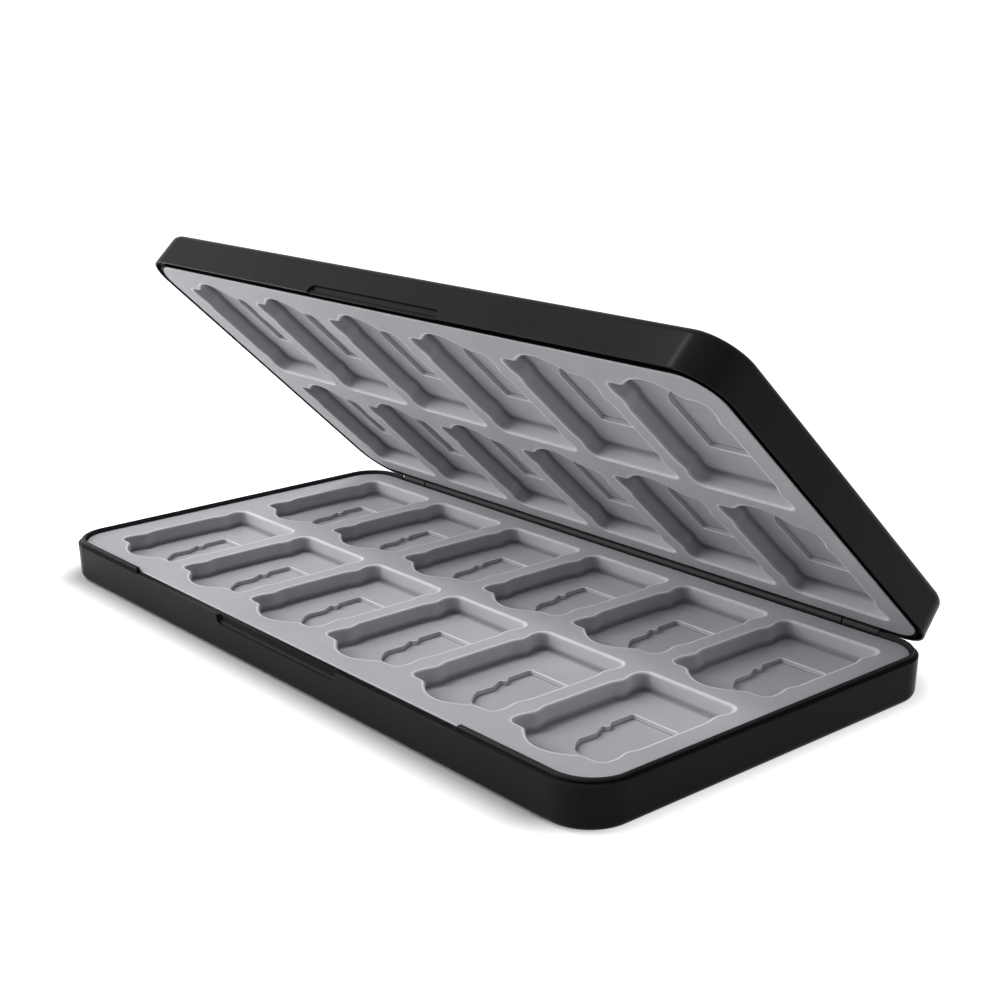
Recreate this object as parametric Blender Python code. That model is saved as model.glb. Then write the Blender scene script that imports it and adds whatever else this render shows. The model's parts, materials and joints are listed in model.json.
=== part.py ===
"""Game card case: two shallow moulded shells, hinged along the back, with a soft tray of card pockets in each.

Metres, +Z up. The origin is the centre of the base's flat underside, +X runs along the long
side and +Y points from the opening edge to the hinge. The lid stands open, turned about the
hinge axis. Each half is drawn in its own frame, whose depth grows from the parting plane
towards the outside of the case, and is then set into the base's or the lid's place.
"""
import math

import bmesh
import bpy

# Case, outside
CASE_LENGTH = 0.1734
CASE_DEPTH = 0.0884
HALF_HEIGHT = 0.0082
FRONT_RADIUS = 0.0092
REAR_RADIUS = 0.0084
OUTER_FILLET = 0.0015
WALL_TAPER = 0.00035
RIM_CHAMFER = 0.00015
PARTING_GAP = 0.0003
OPEN_ANGLE = math.radians(43.7)

# Shells
FLOOR_THICKNESS = 0.0012
BASE_WALL = 0.0013
LID_WALL = 0.0016

# Raised lip of the base and the step in the lid that takes it
LIP_THICKNESS = 0.0005
LIP_HEIGHT = 0.00085
LIP_SIDE_CLEARANCE = 0.0002
LIP_TOP_CLEARANCE = 0.0003
LIP_BREAK_INSET = 0.0327
LIP_RAMP = 0.0005

# Finger notch in both front faces
NOTCH_HALF = 0.0205
NOTCH_DEPTH = 0.0007
NOTCH_HEIGHT = 0.0019
NOTCH_END = 0.0022

# Hinge: one long barrel on the lid between two short knuckles on the base
HINGE_SETBACK = 0.00015
HINGE_END_INSET = 0.0126
KNUCKLE_LENGTH = 0.0086
KNUCKLE_SLIT = 0.0003
BARREL_RADIUS = 0.0012
HINGE_CLEARANCE = 0.0003
PIN_RADIUS = 0.0005
PIN_CLEARANCE = 0.0001
PIN_RECESS = 0.0002
PIN_GRIP = 0.0065

# Soft trays
TRAY_GAP = 0.0003
TRAY_CHAMFER = 0.0003

# Card pockets, in as many columns and rows as the least margins leave room for
COLUMN_RIB = 0.0045
ROW_RIB = 0.0071
END_MARGIN = 0.0065
FRONT_MARGIN = 0.0101
REAR_MARGIN = 0.006
COLUMNS_SHIFT = 0.0007
POCKET_WIDTH = 0.0225
POCKET_LENGTH = 0.032
POCKET_DEPTH = 0.00355
BACK_CORNER = 0.0019
FRONT_CORNER = 0.0016
MOUTH_ROUND = 0.00045
FLOOR_ROUND = 0.0003
GRIP_LENGTH = 0.006
GRIP_DEPTH = 0.00065
GRIP_FRONT = 0.00575
GRIP_REAR = 0.02665
SCOOP_HALF = 0.0069
SCOOP_DEPTH = 0.0034

# Memory card recess in each pocket's floor
RECESS_WIDTH = 0.011
RECESS_LENGTH = 0.0182
RECESS_DEPTH = 0.001
RECESS_SIDE_SHIFT = 0.0006
RECESS_FRONT = 0.00465

# Closing magnets, one pair on each side of the finger notch
MAGNET_LENGTH = 0.018
MAGNET_WIDTH = 0.003
MAGNET_THICKNESS = 0.002
MAGNET_END_INSET = 0.0492
MAGNET_COVER = 0.0013
MAGNET_GAP = 0.0003
MAGNET_SETBACK = 0.0006

# How far every cutter runs past what it cuts
OVERRUN = 0.0005

# Facets
CORNER_STEPS = 6
FILLET_STEPS = 3
ARC_STEPS = 3
ROUND_SIDES = 24
PIN_SIDES = 16

# Doubled points nearer than this are merged
MERGE_DISTANCE = 0.000005

# Shares of the notch's depth and height at the two corners of its eased far edge
NOTCH_EASE_SHARES = ((0.6, 0.82), (1, 0.55))

# Shares of a notch end, a grip and a scoop at which their outlines take a point
NOTCH_END_SHARES = (0, 0.15, 0.5, 1)
GRIP_SHARES = (-0.5, -0.25, 0, 0.25, 0.5)
SCOOP_SHARES = (1.12, 0.96, 0.8, 0.55, 0.28, 0, -0.28, -0.55, -0.8, -0.96, -1.12)

# Memory card recess, anticlockwise from its back left corner: shares of its width from the
# left and of its length from the front, with the card's tooth and slant on the left
RECESS_SHARES = (
    (0, 1), (0, 0.714), (0.123, 0.626), (0, 0.593), (0.136, 0.44), (0.118, 0.236),
    (0.182, 0.159), (0.345, 0.049), (0.464, 0.016), (0.609, 0), (0.782, 0.038),
    (0.927, 0.126), (1, 0.22), (1, 1),
)

# Worked out from the sizes above
HALF_LENGTH = CASE_LENGTH / 2
HALF_DEPTH = CASE_DEPTH / 2
HINGE_HALF = HALF_LENGTH - HINGE_END_INSET
BARREL_HALF = HINGE_HALF - KNUCKLE_LENGTH - KNUCKLE_SLIT
HINGE_Y = HALF_DEPTH + HINGE_SETBACK
HINGE_Z = HALF_HEIGHT + PARTING_GAP / 2
LIP_BREAK_HALF = HALF_LENGTH - LIP_BREAK_INSET
LIP_OUTER = BASE_WALL - LIP_THICKNESS
LID_RIM = LIP_OUTER - LIP_SIDE_CLEARANCE
LID_STEP = LIP_HEIGHT - PARTING_GAP + LIP_TOP_CLEARANCE
LIP_HINGE_END = HINGE_HALF + KNUCKLE_SLIT + LIP_RAMP
STEP_HINGE_END = HINGE_HALF + KNUCKLE_SLIT
TRAY_THICKNESS = HALF_HEIGHT - FLOOR_THICKNESS - TRAY_GAP
COLUMN_PITCH = POCKET_WIDTH + COLUMN_RIB
ROW_PITCH = POCKET_LENGTH + ROW_RIB
COLUMNS_ROOM = CASE_LENGTH - 2 * END_MARGIN
ROWS_ROOM = CASE_DEPTH - FRONT_MARGIN - REAR_MARGIN
MAGNET_PLACE = HALF_LENGTH - MAGNET_END_INSET


def clear_scene():
    """Remove every object that the scene holds."""
    for item in list(bpy.data.objects):
        bpy.data.objects.remove(item, do_unlink=True)


def make_material(name, colour, roughness, metallic=0.0):
    """Return a Principled material."""
    material = bpy.data.materials.new(name)
    material.use_nodes = True
    shader = material.node_tree.nodes["Principled BSDF"]
    shader.inputs["Base Color"].default_value = (*colour, 1)
    shader.inputs["Roughness"].default_value = roughness
    shader.inputs["Metallic"].default_value = metallic
    return material


def loft(bm, rings):
    """Add a closed solid to bm: rings of equally many points, skinned and capped at both ends."""
    loops = [[bm.verts.new(point) for point in ring] for ring in rings]
    count = len(loops[0])
    for below, above in zip(loops, loops[1:]):
        for i in range(count):
            j = (i + 1) % count
            bm.faces.new((below[i], below[j], above[j], above[i]))
    bm.faces.new(loops[0])
    bm.faces.new(loops[-1])


def finish_mesh(bm, name):
    """Merge doubled points, turn the faces outwards and return the mesh."""
    bmesh.ops.remove_doubles(bm, verts=bm.verts, dist=MERGE_DISTANCE)
    bmesh.ops.recalc_face_normals(bm, faces=bm.faces)
    mesh = bpy.data.meshes.new(name)
    bm.to_mesh(mesh)
    bm.free()
    return mesh


def make_object(name, bm, place, material=None):
    """Put bm into the scene as a named object whose parent empty is place."""
    item = bpy.data.objects.new(name, finish_mesh(bm, name))
    bpy.context.collection.objects.link(item)
    item.parent = place.empty
    if material:
        item.data.materials.append(material)
    return item


def hide_helper(item):
    """Mark an object that only cuts or joins another."""
    item.hide_render = True
    item.display_type = "WIRE"
    return item


def add_boolean(item, helper, operation):
    """Cut or join item with helper."""
    modifier = item.modifiers.new(helper.name, "BOOLEAN")
    modifier.operation = operation
    modifier.solver = "EXACT"
    modifier.object = hide_helper(helper)


def shade_round(item):
    """Shade the round faces smooth and keep the edges crisp."""
    item.data.shade_smooth()
    item.data.set_sharp_from_angle(angle=math.radians(30))


class Place:
    """Where one half of the case lies: its parent empty, and which way its depth runs."""

    def __init__(self, name, depth_sign, turn):
        """Set the empty on the hinge axis, turned about it."""
        self.name = name
        self.depth_sign = depth_sign
        self.empty = bpy.data.objects.new(name + "_place", None)
        bpy.context.collection.objects.link(self.empty)
        self.empty.location = (0, HINGE_Y, HINGE_Z)
        self.empty.rotation_euler = (turn, 0, 0)

    def point(self, x, y, depth):
        """Return a point of the half, at a depth behind its parting face, about the hinge axis."""
        return (x, y - HINGE_Y, self.depth_sign * (PARTING_GAP / 2 + depth))


def front_stations():
    """Return the x places where the front edge changes, from left to right."""
    ends = [NOTCH_HALF - share * NOTCH_END for share in NOTCH_END_SHARES]
    places = sorted(ends + [LIP_BREAK_HALF, LIP_BREAK_HALF + LIP_RAMP])
    return [-x for x in reversed(places)] + places


def rear_stations():
    """Return the x places where the rear edge changes, from right to left."""
    places = [LIP_HINGE_END + LIP_RAMP, LIP_HINGE_END, STEP_HINGE_END + LIP_RAMP, STEP_HINGE_END]
    places = sorted(set(places), reverse=True)
    return places + [-x for x in reversed(places)]


def outline_stations():
    """Return (x, y, outward x, outward y) round the outer outline, anticlockwise from the front."""
    stations = [(x, -HALF_DEPTH, 0, -1) for x in front_stations()]
    corners = ((1, -1, -0.5), (1, 1, 0), (-1, 1, 0.5), (-1, -1, 1))
    for side_x, side_y, start in corners:
        if side_x < 0 < side_y:
            stations += [(x, HALF_DEPTH, 0, 1) for x in rear_stations()]
        radius = FRONT_RADIUS if side_y < 0 else REAR_RADIUS
        for i in range(CORNER_STEPS + 1):
            angle = math.pi * (start + i / CORNER_STEPS / 2)
            out_x, out_y = math.cos(angle), math.sin(angle)
            x = side_x * (HALF_LENGTH - radius) + radius * out_x
            y = side_y * (HALF_DEPTH - radius) + radius * out_y
            stations.append((x, y, out_x, out_y))
    return stations


def ramp(value, start):
    """Return 0 up to start, then rise to 1 over one lip ramp."""
    return min(max((value - start) / LIP_RAMP, 0), 1)


def lip_share(x, y):
    """Return how much of the lip stands at a station: none at the notch and at the hinge."""
    if y < 0:
        return ramp(abs(x), LIP_BREAK_HALF)
    return ramp(abs(x), LIP_HINGE_END)


def step_share(x, y):
    """Return how much of the lid's step is cut at a station: none at the hinge."""
    if y < 0:
        return 1
    return ramp(abs(x), STEP_HINGE_END)


def notch_at(x, y):
    """Return the finger notch's depth into the front face at a station."""
    if y > 0 or abs(x) >= NOTCH_HALF:
        return 0
    share = min((NOTCH_HALF - abs(x)) / NOTCH_END, 1)
    return NOTCH_DEPTH * math.sqrt(1 - (1 - share) ** 2)


def taper_at(depth):
    """Return how far the outer face lies in from the rim's outline at a depth."""
    return WALL_TAPER * depth / HALF_HEIGHT


def shell_profile(notch, step, step_inset, wall):
    """Return (inset, depth) points from the outer face, over the rim, to the inner floor."""
    points = []
    for i in range(FILLET_STEPS + 1):
        angle = math.pi / 2 * i / FILLET_STEPS
        depth = HALF_HEIGHT - OUTER_FILLET * (1 - math.cos(angle))
        points.append((taper_at(depth) + OUTER_FILLET * (1 - math.sin(angle)), depth))
    points.append((taper_at(NOTCH_HEIGHT), NOTCH_HEIGHT))
    for depth_share, height_share in NOTCH_EASE_SHARES:
        depth = NOTCH_HEIGHT * height_share
        points.append((taper_at(depth) + notch * depth_share, depth))
    points += [(notch, RIM_CHAMFER), (notch + RIM_CHAMFER, 0)]
    points += [(step_inset, 0), (step_inset, step), (wall, step)]
    points.append((wall, HALF_HEIGHT - FLOOR_THICKNESS))
    return points


def shell_mesh(place, step_height, step_inset, wall, share):
    """Return a shell as a loft of outlines, from the outer face, over the rim, to the floor."""
    stations = outline_stations()
    columns = []
    for x, y, out_x, out_y in stations:
        profile = shell_profile(notch_at(x, y), step_height * share(x, y), step_inset, wall)
        columns.append([place.point(x - out_x * inset, y - out_y * inset, depth)
                        for inset, depth in profile])
    bm = bmesh.new()
    loft(bm, list(zip(*columns)))
    return bm


def cylinder_x(bm, start, end, radius, sides):
    """Add a cylinder on the hinge axis, which is the place's own x axis."""
    rings = []
    for x in (start, end):
        angles = [2 * math.pi * (i + 0.5) / sides for i in range(sides)]
        rings.append([(x, radius * math.cos(a), radius * math.sin(a)) for a in angles])
    loft(bm, rings)


def hinge_helper(name, place, spans, radius, sides=ROUND_SIDES):
    """Return a helper object of cylinders on the hinge axis over spans of x."""
    bm = bmesh.new()
    for start, end in spans:
        cylinder_x(bm, start, end, radius, sides)
    return make_object(name, bm, place)


def both_sides(start, end):
    """Return a span of x and its mirror image."""
    return [(start, end), (-end, -start)]


def box(bm, place, low, high):
    """Add a box between two corners given as (x, y, depth)."""
    rings = []
    for depth in (low[2], high[2]):
        corners = ((low[0], low[1]), (high[0], low[1]), (high[0], high[1]), (low[0], high[1]))
        rings.append([place.point(x, y, depth) for x, y in corners])
    loft(bm, rings)


def magnet_span(side, wall):
    """Return the low and high (x, y) corners of a magnet behind the front wall."""
    middle = side * MAGNET_PLACE
    front = -HALF_DEPTH + wall + TRAY_GAP + MAGNET_SETBACK
    low = (middle - MAGNET_LENGTH / 2, front)
    return low, (middle + MAGNET_LENGTH / 2, front + MAGNET_WIDTH)


def magnet_seats(place, wall):
    """Return a helper of blocks that rise from the shell's floor and carry the magnets."""
    bm = bmesh.new()
    top = MAGNET_COVER + MAGNET_GAP + MAGNET_THICKNESS + MAGNET_GAP
    for side in (-1, 1):
        low, high = magnet_span(side, wall)
        bottom = HALF_HEIGHT - FLOOR_THICKNESS / 2
        front = -HALF_DEPTH + wall / 2
        box(bm, place, (low[0], front, top), (high[0], high[1], bottom))
    return make_object(place.name + "_magnet_seats", bm, place)


def magnet_cutter(place, wall):
    """Return a helper that opens the tray's underside over the magnets and their seats."""
    bm = bmesh.new()
    for side in (-1, 1):
        low, high = magnet_span(side, wall)
        front = -HALF_DEPTH
        start = (low[0] - MAGNET_GAP, front, MAGNET_COVER)
        end = (high[0] + MAGNET_GAP, high[1] + MAGNET_GAP, HALF_HEIGHT)
        box(bm, place, start, end)
    return make_object(place.name + "_magnet_cutter", bm, place)


def make_magnets(place, wall, material):
    """Add the two block magnets of one half."""
    depth = MAGNET_COVER + MAGNET_GAP
    for side, word in ((-1, "left"), (1, "right")):
        bm = bmesh.new()
        low, high = magnet_span(side, wall)
        box(bm, place, (*low, depth), (*high, depth + MAGNET_THICKNESS))
        make_object(f"{place.name}_magnet_{word}", bm, place, material)


def make_base_shell(place, material):
    """Add the base shell with its lip, short knuckles, pin bores and magnet seats."""
    mesh = shell_mesh(place, -LIP_HEIGHT, LIP_OUTER, BASE_WALL, lip_share)
    shell = make_object("base_shell", mesh, place, material)
    trough_end = BARREL_HALF + KNUCKLE_SLIT
    trough = hinge_helper("barrel_trough", place, [(-trough_end, trough_end)],
                          BARREL_RADIUS + HINGE_CLEARANCE)
    add_boolean(shell, trough, "DIFFERENCE")
    add_boolean(shell, magnet_seats(place, BASE_WALL), "UNION")
    knuckles = hinge_helper("knuckle_rods", place, both_sides(trough_end, HINGE_HALF), BARREL_RADIUS)
    add_boolean(shell, knuckles, "UNION")
    bores = both_sides(trough_end - OVERRUN, HINGE_HALF + OVERRUN)
    cutter = hinge_helper("knuckle_bores", place, bores, PIN_RADIUS + PIN_CLEARANCE, PIN_SIDES)
    add_boolean(shell, cutter, "DIFFERENCE")
    shade_round(shell)


def make_lid_shell(place, material):
    """Add the lid shell with its step, knuckle troughs, long barrel and magnet seats."""
    mesh = shell_mesh(place, LID_STEP, LID_RIM, LID_WALL, step_share)
    shell = make_object("lid_shell", mesh, place, material)
    troughs = both_sides(BARREL_HALF, HINGE_HALF + KNUCKLE_SLIT)
    cutter = hinge_helper("knuckle_troughs", place, troughs, BARREL_RADIUS + HINGE_CLEARANCE)
    add_boolean(shell, cutter, "DIFFERENCE")
    add_boolean(shell, magnet_seats(place, LID_WALL), "UNION")
    barrel = hinge_helper("barrel_rod", place, [(-BARREL_HALF, BARREL_HALF)], BARREL_RADIUS)
    add_boolean(shell, barrel, "UNION")
    bores = both_sides(BARREL_HALF - PIN_GRIP - PIN_CLEARANCE, BARREL_HALF + OVERRUN)
    cutter = hinge_helper("barrel_bores", place, bores, PIN_RADIUS + PIN_CLEARANCE, PIN_SIDES)
    add_boolean(shell, cutter, "DIFFERENCE")
    shade_round(shell)


def make_pins(place, material):
    """Add the two hinge pins, from just inside each knuckle's end into the barrel."""
    for side, word in ((-1, "left"), (1, "right")):
        bm = bmesh.new()
        start = side * (BARREL_HALF - PIN_GRIP)
        end = side * (HINGE_HALF - PIN_RECESS)
        cylinder_x(bm, start, end, PIN_RADIUS, PIN_SIDES)
        pin = make_object("hinge_pin_" + word, bm, place, material)
        shade_round(pin)


def arc(centre_x, centre_y, radius, start, end):
    """Return points on an arc between two angles in quarter turns."""
    points = []
    for i in range(ARC_STEPS + 1):
        angle = math.pi / 2 * (start + (end - start) * i / ARC_STEPS)
        points.append((centre_x + radius * math.cos(angle), centre_y + radius * math.sin(angle)))
    return points


def pocket_outline():
    """Return a pocket's wall line, anticlockwise about its middle, with its front wall on y = 0.

    Each side wall swells inwards twice, as a squared cosine, to grip the card. The front wall
    opens into a thumb scoop whose depth falls off as the square of the distance from its middle.
    """
    half = POCKET_WIDTH / 2
    side = []
    for middle in (GRIP_FRONT, GRIP_REAR):
        for share in GRIP_SHARES:
            swell = GRIP_DEPTH * math.cos(math.pi * share) ** 2
            side.append((half - swell, middle + share * GRIP_LENGTH))
    corner = half - FRONT_CORNER
    points = arc(corner, FRONT_CORNER, FRONT_CORNER, -1, 0) + side
    back_y = POCKET_LENGTH - BACK_CORNER
    points += arc(half - BACK_CORNER, back_y, BACK_CORNER, 0, 1)
    points += arc(BACK_CORNER - half, back_y, BACK_CORNER, 1, 2)
    points += [(-x, y) for x, y in reversed(side)]
    points += arc(-corner, FRONT_CORNER, FRONT_CORNER, 2, 3)
    for share in reversed(SCOOP_SHARES):
        points.append((share * SCOOP_HALF, -SCOOP_DEPTH * max(1 - share ** 2, 0)))
    return points


def offset_outline(points, distance):
    """Move an anticlockwise outline outwards by a distance, along its corners' bisectors."""
    moved = []
    for i, (x, y) in enumerate(points):
        before, after = points[i - 1], points[(i + 1) % len(points)]
        ax, ay = x - before[0], y - before[1]
        bx, by = after[0] - x, after[1] - y
        a, b = math.hypot(ax, ay), math.hypot(bx, by)
        nx, ny = ay / a + by / b, -ax / a - bx / b
        scale = 2 / (nx * nx + ny * ny)
        moved.append((x + distance * nx * scale, y + distance * ny * scale))
    return moved


def count_in(room, size, pitch):
    """Return how many pieces of a size have room at a pitch."""
    return 1 + math.floor((room - size) / pitch)


def pocket_origins():
    """Return the place of each pocket's front wall middle."""
    columns = count_in(COLUMNS_ROOM, POCKET_WIDTH, COLUMN_PITCH)
    origins = []
    for row in range(count_in(ROWS_ROOM, POCKET_LENGTH, ROW_PITCH)):
        y = -HALF_DEPTH + FRONT_MARGIN + row * ROW_PITCH
        for column in range(columns):
            from_middle = column - (columns - 1) / 2
            origins.append((from_middle * COLUMN_PITCH + COLUMNS_SHIFT, y))
    return origins


def stacked_cutter(name, place, layers):
    """Return a helper with one loft at each pocket, from (outline, depth) layers."""
    bm = bmesh.new()
    for origin_x, origin_y in pocket_origins():
        rings = []
        for outline, depth in layers:
            rings.append([place.point(origin_x + x, origin_y + y, depth) for x, y in outline])
        loft(bm, rings)
    return make_object(name, bm, place)


def pocket_cutter(place):
    """Return a helper that cuts every pocket, with its eased mouth and floor."""
    wall_line = pocket_outline()
    mouth = offset_outline(wall_line, MOUTH_ROUND + OVERRUN)
    foot = offset_outline(wall_line, -FLOOR_ROUND)
    layers = [(mouth, -OVERRUN), (wall_line, MOUTH_ROUND)]
    layers += [(wall_line, POCKET_DEPTH - FLOOR_ROUND), (foot, POCKET_DEPTH)]
    return stacked_cutter(place.name + "_pocket_cutter", place, layers)


def recess_cutter(place, mirrored):
    """Return a helper that cuts the memory card recess in every pocket's floor."""
    outline = []
    for across, along in RECESS_SHARES:
        if mirrored:
            across = 1 - across
        x = RECESS_SIDE_SHIFT + (across - 0.5) * RECESS_WIDTH
        outline.append((x, RECESS_FRONT + along * RECESS_LENGTH))
    layers = [(outline, POCKET_DEPTH - OVERRUN), (outline, POCKET_DEPTH + RECESS_DEPTH)]
    return stacked_cutter(place.name + "_recess_cutter", place, layers)


def make_tray(place, wall, mirrored, material):
    """Add the soft tray of one half: a rounded slab with its pockets cut in."""
    inset = wall + TRAY_GAP
    rings = []
    layers = ((TRAY_CHAMFER, 0), (0, TRAY_CHAMFER), (0, TRAY_THICKNESS))
    for extra, depth in layers:
        total = inset + extra
        rings.append([place.point(x - out_x * total, y - out_y * total, depth)
                      for x, y, out_x, out_y in outline_stations()])
    bm = bmesh.new()
    loft(bm, rings)
    tray = make_object(place.name + "_liner", bm, place, material)
    add_boolean(tray, pocket_cutter(place), "DIFFERENCE")
    add_boolean(tray, recess_cutter(place, mirrored), "DIFFERENCE")
    add_boolean(tray, magnet_cutter(place, wall), "DIFFERENCE")
    shade_round(tray)


def build():
    """Build the whole case."""
    clear_scene()
    black = make_material("moulded_black_plastic", (0.028, 0.028, 0.03), 0.42)
    grey = make_material("soft_grey_liner", (0.4, 0.4, 0.42), 0.75)
    steel = make_material("bright_steel", (0.6, 0.6, 0.6), 0.3, 1.0)
    nickel = make_material("plated_magnet", (0.66, 0.64, 0.6), 0.25, 1.0)
    base = Place("base", -1, 0)
    lid = Place("lid", 1, -OPEN_ANGLE)
    make_base_shell(base, black)
    make_lid_shell(lid, black)
    make_tray(base, BASE_WALL, False, grey)
    make_tray(lid, LID_WALL, True, grey)
    make_pins(base, steel)
    make_magnets(base, BASE_WALL, nickel)
    make_magnets(lid, LID_WALL, nickel)


build()
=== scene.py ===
"""Looks of a flip-open game card case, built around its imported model.

The case is two satin black mouldings, hinged along the back, each with a soft light grey tray
of shaped pockets. Each half is drawn flat in its own frame, in millimetres: x along the hinge,
y from the opening edge to the hinge, and a depth that grows from the parting face to the
outside. HalfPlace then sets it about the hinge axis, in metres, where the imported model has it.
"""
import json
import logging
import math
from dataclasses import dataclass, field
from enum import Enum, IntEnum
from typing import Any

import bmesh
import bpy
import numpy as np
from mathutils import Matrix
from mathutils.geometry import delaunay_2d_cdt


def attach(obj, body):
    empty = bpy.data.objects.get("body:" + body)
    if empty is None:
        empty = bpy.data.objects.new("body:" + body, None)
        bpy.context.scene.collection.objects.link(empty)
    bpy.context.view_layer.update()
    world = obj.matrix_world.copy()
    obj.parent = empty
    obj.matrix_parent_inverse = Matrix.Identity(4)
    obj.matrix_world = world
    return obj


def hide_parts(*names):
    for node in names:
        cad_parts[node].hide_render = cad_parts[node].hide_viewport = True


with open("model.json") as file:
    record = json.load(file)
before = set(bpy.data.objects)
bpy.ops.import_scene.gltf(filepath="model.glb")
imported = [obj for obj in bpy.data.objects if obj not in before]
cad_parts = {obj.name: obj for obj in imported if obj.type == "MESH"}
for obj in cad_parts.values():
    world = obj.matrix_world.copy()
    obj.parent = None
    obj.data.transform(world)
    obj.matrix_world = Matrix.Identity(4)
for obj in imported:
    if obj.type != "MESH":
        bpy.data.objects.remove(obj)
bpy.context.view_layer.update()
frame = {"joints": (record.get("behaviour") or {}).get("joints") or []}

MM = 0.001
TINY = 1e-9
# Beside a rounded corner a point holds the flat face flat in the shading. It lies this far from
# the arc, in millimetres and as the most that it takes of the side. The arc has a most as well.
HOLD = 0.05
HOLD_SHARE = 0.04
LEG_SHARE = 0.45
MERGE_DISTANCE = 0.0004 * MM
SHARP_ANGLE = math.radians(38)
# Nearly all values of a noise lie between these two.
NOISE_RANGE = (0.3, 0.7)
SIDES = ((-1, "left"), (1, "right"))
# The point attribute that carries painted highlight (up to 1) and painted shade (down to -1)
EASE = "ease"

log = logging.getLogger("card_case")


class Half(Enum):
    """The two halves of the case, by the name of the body that each rides on."""

    BASE = "base"
    LID = "lid"


class Slot(Enum):
    """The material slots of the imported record."""

    BLACK = "black_plastic"
    GREY = "grey_liner"
    STEEL = "pin_steel"
    NICKEL = "magnet_nickel"


class Bend(IntEnum):
    """The rounded corners of a wall's section, from the outer face to the ledge inside the rim."""

    FILLET = 0
    NOTCH_EDGE = 1
    COVE_TOP = 2
    COVE_MIDDLE = 3
    COVE_FOOT = 4
    RIM_OUTER = 5
    RIM_INNER = 6
    LEDGE_OUTER = 7
    LEDGE_INNER = 8


# Curves and profiles


def corner_arc(before: np.ndarray, corner: np.ndarray, after: np.ndarray, radius: float,
               steps: int) -> np.ndarray:
    """Round one corner of many paths at once.

    The arc leaves both sides at radius * tan(turn / 2) from the corner, or at a set share of the
    shorter side. It is ((1-t)^2 P + 2 w t (1-t) C + t^2 Q) / ((1-t)^2 + 2 w t (1-t) + t^2) with
    w = cos(turn / 2), which is a true arc where the sides are long enough. A point on each side
    just outside the arc keeps the flat faces beside it flat in the shading.

    Args:
        before: The corner before, (..., 2).
        corner: The corner that is rounded, (..., 2).
        after: The corner after, (..., 2).
        radius: The arc's radius.
        steps: How many stretches the arc has.

    Returns:
        The points that take the corner's place, (..., steps + 3, 2).
    """
    into, out = corner - before, after - corner
    length_in = np.linalg.norm(into, axis=-1, keepdims=True)
    length_out = np.linalg.norm(out, axis=-1, keepdims=True)
    into = into / np.maximum(length_in, TINY)
    out = out / np.maximum(length_out, TINY)
    cosine = np.clip((into * out).sum(axis=-1, keepdims=True), TINY - 1, 1)
    leg = radius * np.sqrt((1 - cosine) / (1 + cosine))
    shorter = np.minimum(length_in, length_out)
    leg = np.minimum(leg, LEG_SHARE * shorter)
    hold = np.minimum(HOLD, HOLD_SHARE * shorter)
    start, end = corner - into * leg, corner + out * leg
    t = np.linspace(0, 1, steps + 1)[:, None]
    near, far = (1 - t) ** 2, t ** 2
    pull = 2 * np.sqrt((1 + cosine) / 2)[..., None, :] * t * (1 - t)
    arc = near * start[..., None, :] + pull * corner[..., None, :] + far * end[..., None, :]
    arc = arc / (near + pull + far)
    first = (start - into * hold)[..., None, :]
    last = (end + out * hold)[..., None, :]
    return np.concatenate((first, arc, last), axis=-2)


def round_path(corners: np.ndarray, bends: list[tuple[float, int]]) -> np.ndarray:
    """Round every corner of open paths but the two ends.

    Args:
        corners: The corners, (..., corners, 2).
        bends: The radius of each inner corner, and how many stretches its arc has.

    Returns:
        The rounded paths, (..., points, 2).
    """
    parts = [corners[..., :1, :]]
    for i, (radius, steps) in enumerate(bends, start=1):
        around = (corners[..., i - 1, :], corners[..., i, :], corners[..., i + 1, :])
        parts.append(corner_arc(*around, radius, steps))
    parts.append(corners[..., -1:, :])
    return np.concatenate(parts, axis=-2)


def round_loop(corners: np.ndarray, radius: float, steps: int) -> np.ndarray:
    """Round every corner of a closed outline.

    Args:
        corners: The corners, (corners, 2).
        radius: The radius of every corner.
        steps: The stretches of each arc.

    Returns:
        The rounded outline, (points, 2).
    """
    before, after = np.roll(corners, 1, axis=0), np.roll(corners, -1, axis=0)
    return corner_arc(before, corners, after, radius, steps).reshape(-1, 2)


def outward(outline: np.ndarray) -> np.ndarray:
    """Find which way is out along an outline, at right angles to its chords.

    Args:
        outline: An anticlockwise outline, (points, 2).

    Returns:
        The unit normals, (points, 2).
    """
    chord = np.roll(outline, -1, axis=0) - np.roll(outline, 1, axis=0)
    normal = np.stack((chord[:, 1], -chord[:, 0]), axis=-1)
    return normal / np.linalg.norm(normal, axis=-1, keepdims=True)


def quarter(steps: int) -> np.ndarray:
    """Return angles over a quarter turn."""
    return np.linspace(0, math.pi / 2, steps + 1)


def layered(outline: np.ndarray, layers: np.ndarray) -> np.ndarray:
    """Stack copies of an outline, each moved outwards by its own offset, at its own depth.

    Args:
        outline: An anticlockwise outline, (points, 2).
        layers: Offset, depth and ease of each ring, (rings, 3).

    Returns:
        The rings, (rings, points, 3).
    """
    flat = outline[None] + outward(outline)[None] * layers[:, None, :1]
    depth = np.broadcast_to(layers[:, None, 1:2], (*flat.shape[:2], 1))
    return np.concatenate((flat, depth), axis=-1)


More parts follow.
